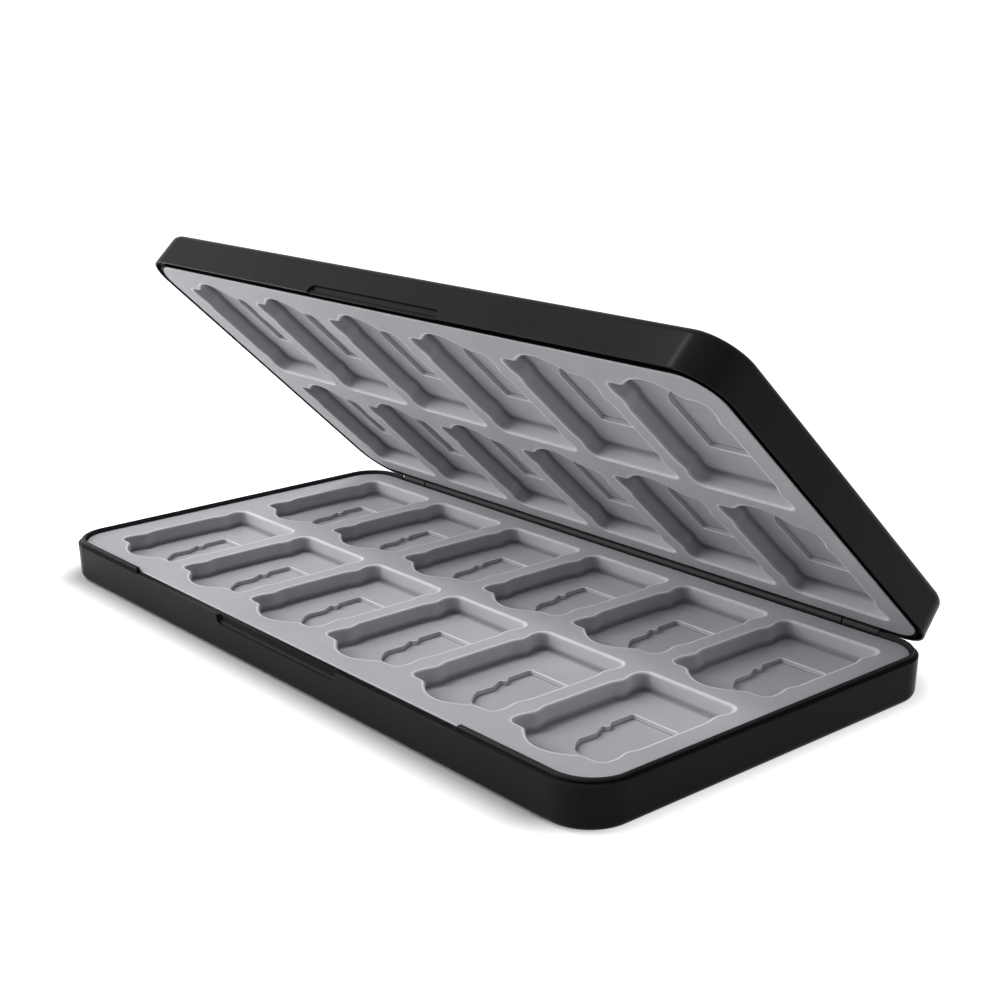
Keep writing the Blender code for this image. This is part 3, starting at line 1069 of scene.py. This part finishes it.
@dataclass(frozen=True)
class Pocket:
    """One card pocket: its outline, rounded mouth and foot, and the recess in its floor.

    The mouth carries a painted highlight and the foot painted shade. Its own frame has its
    front wall on y = 0 and its middle on x = 0.
    """

    width: float = 22.5
    length: float = 32.0
    depth: float = 3.55
    back_corner: float = 1.9
    front_corner: float = 1.6
    corner_steps: int = 10
    side_points: int = 76
    front_points: int = 72
    back_points: int = 8
    mouth: float = 0.5
    # The mouth's painted highlight spreads over this band of the flat face; the foot has painted shade
    mouth_band: float = 0.24
    mouth_highlight: float = 0.7
    mouth_steps: int = 8
    foot: float = 0.3
    foot_reach: float = 0.9
    foot_shade: float = 0.9
    foot_steps: int = 6
    grip_length: float = 6.0
    grip_depth: float = 0.65
    grip_front: float = 5.75
    grip_rear: float = 26.65
    scoop_half: float = 6.9
    scoop_depth: float = 3.4
    scoop_ease: float = 0.45
    recess_width: float = 11.0
    recess_length: float = 18.2
    recess_depth: float = 1.0
    recess_shift: float = 0.6
    recess_front: float = 4.65
    recess_corner: float = 0.55
    recess_edge: float = 0.16
    recess_steps: int = 4
    # Anticlockwise from the back left corner, with the card's tooth and slant on the left
    recess_shares: tuple[tuple[float, float], ...] = (
        (0, 1), (0, 0.714), (0.123, 0.626), (0, 0.593), (0.136, 0.44), (0.118, 0.236),
        (0.182, 0.159), (0.345, 0.049), (0.464, 0.016), (0.609, 0), (0.782, 0.038),
        (0.927, 0.126), (1, 0.22), (1, 1),
    )

    def side_wall(self) -> np.ndarray:
        """Return the right side wall from front to back.

        It swells in twice to grip the card, as a squared cosine: x = w/2 - d cos^2(pi (y-m)/l).

        Returns:
            The points, (points, 2).
        """
        y = np.linspace(self.front_corner, self.length - self.back_corner, self.side_points)
        swell = np.zeros_like(y)
        for middle in (self.grip_front, self.grip_rear):
            share = np.clip((y - middle) / self.grip_length, -0.5, 0.5)
            swell += self.grip_depth * np.cos(math.pi * share) ** 2
        return np.stack((self.width / 2 - swell, y), axis=-1)

    def front_wall(self) -> np.ndarray:
        """Return the front wall from left to right, opened into the thumb scoop.

        The scoop is a parabola s = d (1 - (x/h)^2), blended into the wall by
        y = -(s + sqrt(s^2 + e^2)) / 2, which rounds its two shoulders.

        Returns:
            The points, (points, 2).
        """
        end = self.width / 2 - self.front_corner
        x = np.linspace(-end, end, self.front_points)[1:-1]
        depth = self.scoop_depth * (1 - (x / self.scoop_half) ** 2)
        return np.stack((x, -(depth + np.sqrt(depth ** 2 + self.scoop_ease ** 2)) / 2), axis=-1)

    def corner(self, radius: float, y: float, start: float) -> np.ndarray:
        """Return a quarter circle at one corner of the pocket.

        Args:
            radius: The corner's radius.
            y: Its centre's y.
            start: Where it starts, in quarter turns.

        Returns:
            The points, (points, 2).
        """
        angle = start * math.pi / 2 + quarter(self.corner_steps)
        side = 1 if start in (-1, 0) else -1
        x = side * (self.width / 2 - radius) + radius * np.cos(angle)
        return np.stack((x, y + radius * np.sin(angle)), axis=-1)

    def outline(self) -> np.ndarray:
        """Return the wall's outline, anticlockwise from the front right corner.

        Returns:
            The points, (points, 2).
        """
        side = self.side_wall()[1:-1]
        back = self.length - self.back_corner
        share = np.linspace(1, -1, self.back_points)[1:-1]
        reach = share * (self.width / 2 - self.back_corner)
        back_wall = np.stack((reach, np.full_like(reach, self.length)), axis=-1)
        return np.concatenate((
            self.corner(self.front_corner, self.front_corner, -1), side,
            self.corner(self.back_corner, back, 0), back_wall,
            self.corner(self.back_corner, back, 1), side[::-1] * (-1, 1),
            self.corner(self.front_corner, self.front_corner, 2), self.front_wall(),
        ))

    def layers(self) -> np.ndarray:
        """Return offset, depth and ease of the pocket's rings: mouth, wall and foot.

        The mouth is a quarter circle from flat to upright, r (1 - sin a) out at r (1 - cos a)
        deep, and the foot is the same, from upright to flat. The mouth's painted highlight is a share
        of cos^3 a, with a band of the flat face beside it. The painted shade falls off from the foot
        on both sides.

        Returns:
            The rings, (rings, 3).
        """
        mouth, foot, depth, reach = self.mouth, self.foot, self.depth, self.foot_reach
        a, b = quarter(self.mouth_steps), quarter(self.foot_steps)
        out = np.concatenate(([mouth + self.mouth_band, mouth + self.mouth_band / 2, mouth + HOLD],
                              mouth * (1 - np.sin(a)), [0, 0, 0],
                              foot * (np.cos(b) - 1), [-foot - HOLD, -foot - reach]))
        down = np.concatenate(([0, 0, 0], mouth * (1 - np.cos(a)),
                               [mouth + HOLD, depth - foot - reach, depth - foot - HOLD],
                               depth - foot * (1 - np.sin(b)), [depth, depth]))
        pale, deep = self.mouth_highlight, -self.foot_shade
        ease = np.concatenate(([0, pale, pale], pale * np.cos(a) ** 3, [0, 0, deep],
                               -np.ones_like(b), [deep, 0]))
        return np.stack((out, down, ease), axis=-1)

    def recess_outline(self, mirrored: bool) -> np.ndarray:
        """Return the memory card recess, with its corners rounded.

        Args:
            mirrored: Whether its tooth is on the right, as in the lid.

        Returns:
            An anticlockwise outline, (points, 2).
        """
        shares = np.array(self.recess_shares)
        if mirrored:
            shares = shares[::-1] * (-1, 1) + (1, 0)
        x = self.recess_shift + (shares[:, 0] - 0.5) * self.recess_width
        y = self.recess_front + shares[:, 1] * self.recess_length
        return round_loop(np.stack((x, y), axis=-1), self.recess_corner, self.recess_steps)

    def recess_layers(self) -> np.ndarray:
        """Return offset, depth and ease of the recess's rings: edge, wall and foot.

        Edge and foot are quarter circles, as at the pocket, with a painted highlight of sin 2a on
        the edge and painted shade of sin 2a in the foot.

        Returns:
            The rings, (rings, 3).
        """
        edge, top = self.recess_edge, self.depth
        bottom = top + self.recess_depth
        a = quarter(self.recess_steps)
        out = np.concatenate(([edge + HOLD], edge * (1 - np.sin(a)), edge * (np.cos(a) - 1),
                              [-edge - HOLD]))
        down = np.concatenate(([top], top + edge * (1 - np.cos(a)),
                               bottom - edge * (1 - np.sin(a)), [bottom]))
        ease = np.concatenate(([0], np.sin(2 * a), -np.sin(2 * a), [0]))
        return np.stack((out, down, ease), axis=-1)


@dataclass
class Tray:
    """The soft tray of one half: a slab with rounded edges and two rows of card pockets."""

    place: HalfPlace
    case: CaseSizes
    magnets: Magnets
    wall: float
    pocket: Pocket = field(default_factory=Pocket)
    gap: float = 0.3
    edge: float = 0.18
    # The painted highlight on the slab's rounded edge
    edge_highlight: float = 0.3
    edge_steps: int = 5
    rear_points: int = 5
    columns: int = 6
    rows: int = 2
    column_pitch: float = 27.0
    row_pitch: float = 39.1
    front_margin: float = 10.1
    shift: float = 0.7
    surface: Surface = field(default_factory=Surface)

    def origins(self) -> np.ndarray:
        """Say where the middle of each pocket's front wall lies.

        Returns:
            The places, (pockets, 2).
        """
        x = (np.arange(self.columns) - (self.columns - 1) / 2) * self.column_pitch + self.shift
        y = -self.case.half_depth + self.front_margin + np.arange(self.rows) * self.row_pitch
        return np.stack(np.meshgrid(x, y), axis=-1).reshape(-1, 2)

    def at_pockets(self, outline: np.ndarray, layers: np.ndarray) -> np.ndarray:
        """Stack copies of an outline at every pocket.

        Args:
            outline: An anticlockwise outline in a pocket's own frame, (points, 2).
            layers: Offset, depth and ease of each ring, (rings, 3).

        Returns:
            The new points' numbers, (pockets, rings, points).
        """
        origins = self.origins()
        moves = np.concatenate((origins, np.zeros((len(origins), 1))), axis=-1)
        rings = layered(outline, layers)[None] + moves[:, None, None]
        return self.surface.add(rings, layers[:, 2:])

    def slab(self) -> np.ndarray:
        """Add the slab's edge, side and underside.

        The edge is a quarter circle. The underside has a notch over each magnet: its stations
        are doubled at the notch's ends, and step back from the front edge between them.

        Returns:
            The point numbers of its topmost ring.
        """
        spans = [self.magnets.span(side) for side in (-1, 1)]
        room = self.magnets.gap
        ends = np.array([(span[0] - room, span[2] + room) for span in spans]).ravel()
        front = np.repeat(ends, 2)
        rear = np.linspace(1, -1, self.rear_points) * self.hinge_straight
        stations = self.case.stations(front, rear)
        inset = self.wall + self.gap
        a = quarter(self.edge_steps)
        out = np.concatenate(([self.edge + HOLD], self.edge * (1 - np.sin(a)), [0, 0]))
        cover = self.magnets.cover
        down = np.concatenate(([0], self.edge * (1 - np.cos(a)), [self.edge + HOLD, cover]))
        flat = stations[None, :, :2] - stations[None, :, 2:] * (inset + out)[:, None, None]
        flat[..., 1] += self.case.front_room(stations)
        depth = np.broadcast_to(down[:, None, None], (*flat.shape[:2], 1))
        rings = np.concatenate((flat, depth), axis=-1)
        notched = rings[-1].copy()
        between_ends = [1, 2, 5, 6]
        notched[between_ends, 1] = spans[0][3] + room
        bottom = notched.copy()
        bottom[:, 2] = self.case.height - self.case.floor - self.gap
        # A painted highlight, sin 2a, on the slab's rounded edge
        ease = np.concatenate(([0], self.edge_highlight * np.sin(2 * a), [0, 0, 0, 0]))[:, None]
        numbers = self.surface.add(np.concatenate((rings, notched[None], bottom[None])), ease)
        self.surface.join(numbers)
        self.surface.cap(numbers[-1])
        return numbers[0]

    @property
    def hinge_straight(self) -> float:
        """Half the straight stretch of the hinge edge."""
        return self.case.half_length - 2 * self.case.rear_radius

    def build(self, material: bpy.types.Material) -> bpy.types.Object:
        """Build the tray with its pockets.

        Args:
            material: The finish.

        Returns:
            The tray.
        """
        half = self.place.half
        edge = self.slab()
        wall = self.at_pockets(self.pocket.outline(), self.pocket.layers())
        recess_outline = self.pocket.recess_outline(mirrored=half is Half.LID)
        recess = self.at_pockets(recess_outline, self.pocket.recess_layers())
        self.surface.join(wall)
        self.surface.join(recess)
        self.surface.fill(edge, *wall[:, 0])
        for outer, inner in zip(wall[:, -1], recess):
            self.surface.fill(outer, inner[0])
            self.surface.fill(inner[-1])
        points = self.place.world(self.surface.gathered())
        name = half.value + "_soft_tray"
        tray = make_piece(name, self.surface, points, material, half)
        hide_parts(half.value + "_liner")
        return tray


@dataclass
class HingeLine:
    """The barrel, the knuckles and the pins, all turned about the hinge axis."""

    case: CaseSizes
    sizes: HingeSizes
    axis_y: float
    axis_z: float

    def turned(self, profile: np.ndarray, name: str, material: bpy.types.Material, half: Half) -> bpy.types.Object:
        """Turn a profile of (x, radius) points about the hinge axis.

        y = axis + r cos a and z = axis + r sin a.

        Args:
            profile: The profile, (points, 2).
            name: The piece's name.
            material: The finish.
            half: The half that carries it.

        Returns:
            The piece.
        """
        angle = np.arange(self.sizes.sides) * 2 * math.pi / self.sizes.sides
        x, radius = profile[:, :1], profile[:, 1:]
        rings = np.stack((x + 0 * angle, self.axis_y + radius * np.cos(angle),
                          self.axis_z + radius * np.sin(angle)), axis=-1)
        surface = Surface()
        surface.join(surface.add(rings))
        return make_piece(name, surface, surface.gathered() * MM, material, half)

    def barrel(self, material: bpy.types.Material) -> None:
        """Add the lid's long barrel, with a blind bore at each end.

        Args:
            material: The finish.
        """
        sizes = self.sizes
        end = sizes.barrel(self.case)
        bore = sizes.pin_radius + sizes.bore_clearance
        blind = end - sizes.pin_grip - sizes.bore_clearance
        right = [(blind, 0), (blind, bore), (end, bore), (end, sizes.radius)]
        corners = np.array(right + [(-x, radius) for x, radius in reversed(right)])
        bends = [(0, 1), (sizes.edge / 2, 3), (sizes.edge, 4)]
        profile = round_path(corners, bends + bends[::-1])
        self.turned(profile, "lid_hinge_barrel", material, Half.LID)

    def knuckle(self, side: int, word: str, material: bpy.types.Material) -> None:
        """Add one of the base's short knuckles, bored for its pin and plugged at its outer end.

        Args:
            side: -1 for the left one, 1 for the right one.
            word: The side's name.
            material: The finish.
        """
        sizes = self.sizes
        inner = sizes.barrel(self.case) + sizes.slit
        outer = sizes.outer(self.case)
        bore = sizes.pin_radius + sizes.bore_clearance
        blind = outer - sizes.plug
        corners = np.array([(outer, 0), (outer, sizes.radius), (inner, sizes.radius), (inner, bore),
                            (blind, bore), (blind, 0)])
        profile = round_path(corners, [(sizes.edge, 4)] * 3 + [(sizes.edge / 4, 1)]) * (side, 1)
        self.turned(profile, f"base_hinge_knuckle_{word}", material, Half.BASE)

    def pin(self, side: int, word: str, material: bpy.types.Material) -> None:
        """Add the steel pin of one end, with rounded ends.

        Args:
            side: -1 for the left one, 1 for the right one.
            word: The side's name.
            material: The finish.
        """
        sizes = self.sizes
        start = sizes.barrel(self.case) - sizes.pin_grip
        end = sizes.outer(self.case) - sizes.pin_recess
        corners = np.array([(start, 0), (start, sizes.pin_radius), (end, sizes.pin_radius), (end, 0)])
        profile = round_path(corners, [(sizes.pin_radius / 4, 3)] * 2) * (side, 1)
        pin = self.turned(profile, f"steel_pin_{word}", material, Half.BASE)
        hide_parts("hinge_pin_" + word)

    def build(self, plastic: bpy.types.Material, steel: bpy.types.Material) -> None:
        """Add every piece of the hinge line.

        Args:
            plastic: The finish of the barrel and the knuckles.
            steel: The finish of the pins.
        """
        self.barrel(plastic)
        for side, word in SIDES:
            self.knuckle(side, word, plastic)
            self.pin(side, word, steel)


# The studio


@dataclass(frozen=True)
class Softbox:
    """A square lamp that looks at a point of the case from a bearing.

    The bearing is as for a view: azimuth 0 stands in front of the opening edge and 90 at the
    right end.
    """

    name: str
    azimuth: float
    elevation: float
    distance: float
    size: float
    radiance: float
    target: tuple[float, float, float] = (0.0, 0.0, 0.03)

    def build(self) -> None:
        """Add the lamp; its power is radiance times its area and pi."""
        lamp = bpy.data.lights.new(self.name, "AREA")
        lamp.shape = "SQUARE"
        lamp.size = self.size
        lamp.energy = self.radiance * self.size ** 2 * math.pi
        azimuth, elevation = math.radians(self.azimuth), math.radians(self.elevation)
        out = np.array((math.sin(azimuth) * math.cos(elevation),
                        -math.cos(azimuth) * math.cos(elevation), math.sin(elevation)))
        across = np.array((math.cos(azimuth), math.sin(azimuth), 0))
        up = np.cross(out, across)
        where = np.array(self.target) + out * self.distance
        turn = np.stack((across, up, out, where), axis=-1)
        item = bpy.data.objects.new(self.name, lamp)
        item.matrix_world = Matrix((*turn.tolist(), (0, 0, 0, 1)))
        bpy.context.collection.objects.link(item)


@dataclass(frozen=True)
class Studio:
    """Camera, lamps, white floor and pale surroundings."""

    lens: float = 59.7069
    sensor: float = 36.0
    camera_place: tuple[tuple[float, ...], ...] = (
        (0.64774005, -0.20852148, 0.73276983, 0.25220629),
        (0.76177784, 0.19151333, -0.6188838, -0.2004542),
        (-0.01128463, 0.95908364, 0.2828979, 0.12226066),
        (0.0, 0.0, 0.0, 1.0),
    )
    lamps: tuple[Softbox, ...] = (
        Softbox("key_softbox", azimuth=-50, elevation=20, distance=0.8, size=0.65, radiance=4.2),
        Softbox("top_softbox", azimuth=-26, elevation=42, distance=0.6, size=0.48, radiance=1.9),
        Softbox("strip_softbox", azimuth=-54, elevation=61, distance=0.5, size=0.06, radiance=56),
        Softbox("side_softbox", azimuth=112, elevation=14, distance=0.6, size=0.45, radiance=1.3),
    )
    sky: float = 0.04
    floor_reach: float = 6.0
    floor_drop: float = 0.02 * MM
    floor_roughness: float = 0.9
    floor_colour: str = "#ececec"
    # The floor's colour right beside the case's foot, a painted contact shadow
    painted_shadow_colour: str = "#c0c0c0"
    lift: float = 0.97
    # The painted contact shadow fades over this reach from a rounded block under the case,
    # in metres
    lift_reach: float = 0.01
    footprint_shift: tuple[float, float] = (-0.004, -0.0004)
    footprint: tuple[float, float] = (0.0747, 0.0358)
    footprint_radius: float = 0.008

    def camera(self) -> None:
        """Set the camera at the photograph's place and lens."""
        data = bpy.data.cameras.new("camera")
        data.lens, data.sensor_width = self.lens, self.sensor
        item = bpy.data.objects.new("camera", data)
        item.matrix_world = Matrix(self.camera_place)
        bpy.context.collection.objects.link(item)
        bpy.context.scene.camera = item

    def seen(self, tree: bpy.types.NodeTree) -> bpy.types.NodeSocket:
        """Tell what the camera, gloss or glass sees from what only lights.

        Args:
            tree: The node tree.

        Returns:
            1 for what is seen, and 0 for the rest.
        """
        path = add_node(tree, "ShaderNodeLightPath")
        seen = path.outputs["Is Camera Ray"]
        for name in ("Is Glossy Ray", "Is Transmission Ray"):
            seen = add_node(tree, "ShaderNodeMath", {"operation": "MAXIMUM"},
                            {0: seen, 1: path.outputs[name]}).outputs[0]
        return seen

    def surroundings(self) -> None:
        """Make the world white where it is seen, and a plain soft light elsewhere."""
        world = bpy.data.worlds.new("pale_studio")
        world.use_nodes = True
        tree = world.node_tree
        strength = add_node(tree, "ShaderNodeMapRange", {"To Min": self.sky, "To Max": 1.0},
                            {"Value": self.seen(tree)})
        feed(tree.nodes["Background"], {"Color": linear("#ffffff")},
             {"Strength": strength.outputs["Result"]})
        bpy.context.scene.world = world

    def from_footprint(self, tree: bpy.types.NodeTree,
                       place: bpy.types.NodeSocket) -> bpy.types.NodeSocket:
        """Measure how far a floor point lies from the block that the case's foot is rounded on.

        The distance is the length of max(|p - s| - h, 0), where h is half the block and s its
        shift, which draws the painted contact shadow out to the left.

        Args:
            tree: The node tree.
            place: The point's place.

        Returns:
            The distance in metres.
        """
        zero = (0.0, 0.0, 0.0)
        for operation, value in (("SUBTRACT", (*self.footprint_shift, 0.0)), ("ABSOLUTE", zero),
                                 ("SUBTRACT", (*self.footprint, 1.0)), ("MAXIMUM", zero)):
            place = add_node(tree, "ShaderNodeVectorMath", {"operation": operation, 1: value},
                             {0: place}).outputs[0]
        return add_node(tree, "ShaderNodeVectorMath", {"operation": "LENGTH"},
                        {0: place}).outputs["Value"]

    def floor(self) -> None:
        """Lay the white floor.

        Where it is seen, a lift takes it to white. Right beside the case's foot the lift falls
        to nothing and the floor's colour turns greyer, a painted contact shadow; the lamps' own
        shadow of the case shows there too.
        """
        reach = self.floor_reach
        mesh = bpy.data.meshes.new("floor")
        corners = [(x * reach, y * reach, -self.floor_drop)
                   for x, y in ((-1, -1), (1, -1), (1, 1), (-1, 1))]
        mesh.from_pydata(corners, [], [(0, 1, 2, 3)])
        material, shader, place = start_material("white_floor")
        tree = material.node_tree
        level = add_node(tree, "ShaderNodeMapRange", {
            "From Min": self.footprint_radius,
            "From Max": self.footprint_radius + self.lift_reach,
        }, {"Value": self.from_footprint(tree, place)}).outputs["Result"]
        # Painted contact shadow: near the case's foot the floor's colour turns greyer
        colour = add_node(tree, "ShaderNodeMix", {
            "data_type": "RGBA", 6: linear(self.painted_shadow_colour), 7: linear(self.floor_colour),
        }, {0: level})
        feed(shader, {"Roughness": self.floor_roughness, "Specular IOR Level": 0.0},
             {"Base Color": colour.outputs[2]})
        full = add_node(tree, "ShaderNodeMath", {"operation": "MULTIPLY", 1: self.lift}, {0: level})
        lift = add_node(tree, "ShaderNodeMath", {"operation": "MULTIPLY"},
                        {0: self.seen(tree), 1: full.outputs[0]})
        glow = add_node(tree, "ShaderNodeEmission", {"Color": linear("#ffffff")},
                        {"Strength": lift.outputs[0]})
        both = add_node(tree, "ShaderNodeAddShader",
                        links={0: shader.outputs[0], 1: glow.outputs[0]})
        feed(tree.nodes["Material Output"], {}, {"Surface": both.outputs[0]})
        mesh.materials.append(material)
        item = bpy.data.objects.new("floor", mesh)
        bpy.context.collection.objects.link(item)

    def build(self) -> None:
        """Set up the whole studio."""
        bpy.context.scene.view_settings.view_transform = "Standard"
        self.camera()
        self.surroundings()
        self.floor()
        for lamp in self.lamps:
            lamp.build()


def half_places(case: CaseSizes) -> tuple[HalfPlace, HalfPlace]:
    """Return where the base and the lid lie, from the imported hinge.

    Args:
        case: The case's sizes.

    Returns:
        The base's place and the lid's.
    """
    joint = frame["joints"][0]
    axis_y, axis_z = (value / MM for value in joint["pos_m"][1:])
    closed = math.radians(joint["range_deg"][0])
    base = HalfPlace(Half.BASE, axis_y, axis_z, case.parting_gap)
    lid = HalfPlace(Half.LID, axis_y, axis_z, case.parting_gap, closed, 1)
    return base, lid


def main() -> None:
    """Build the studio and the case, sub-assembly by sub-assembly."""
    logging.basicConfig(level=logging.INFO, format="%(message)s")
    Studio().build()
    plastic, silicone = SATIN_ABS.material(), SOFT_SILICONE.material()
    hinge_plastic = HINGE_ABS_PAINTED_PALER.material()
    steel, nickel = DRAWN_STEEL.material(), NICKEL_PLATE.material()
    case, hinge = CaseSizes(), HingeSizes()
    base, lid = half_places(case)
    edges = {
        Half.BASE: {"wall": 1.3, "rim": 0.8, "lip": 0.89},
        Half.LID: {"wall": 1.6, "rim": 0.45, "step": 0.85, "ridge": 0.18},
    }
    for place in (base, lid):
        wall = edges[place.half]["wall"]
        magnets = Magnets(place, case, wall)
        Shell(place, case, hinge, magnet=magnets, **edges[place.half]).build(plastic)
        Tray(place, case, magnets, wall).build(silicone)
        magnets.build(nickel)
    HingeLine(case, hinge, base.hinge_y, base.hinge_z).build(hinge_plastic, steel)


if __name__ == "__main__":
    main()
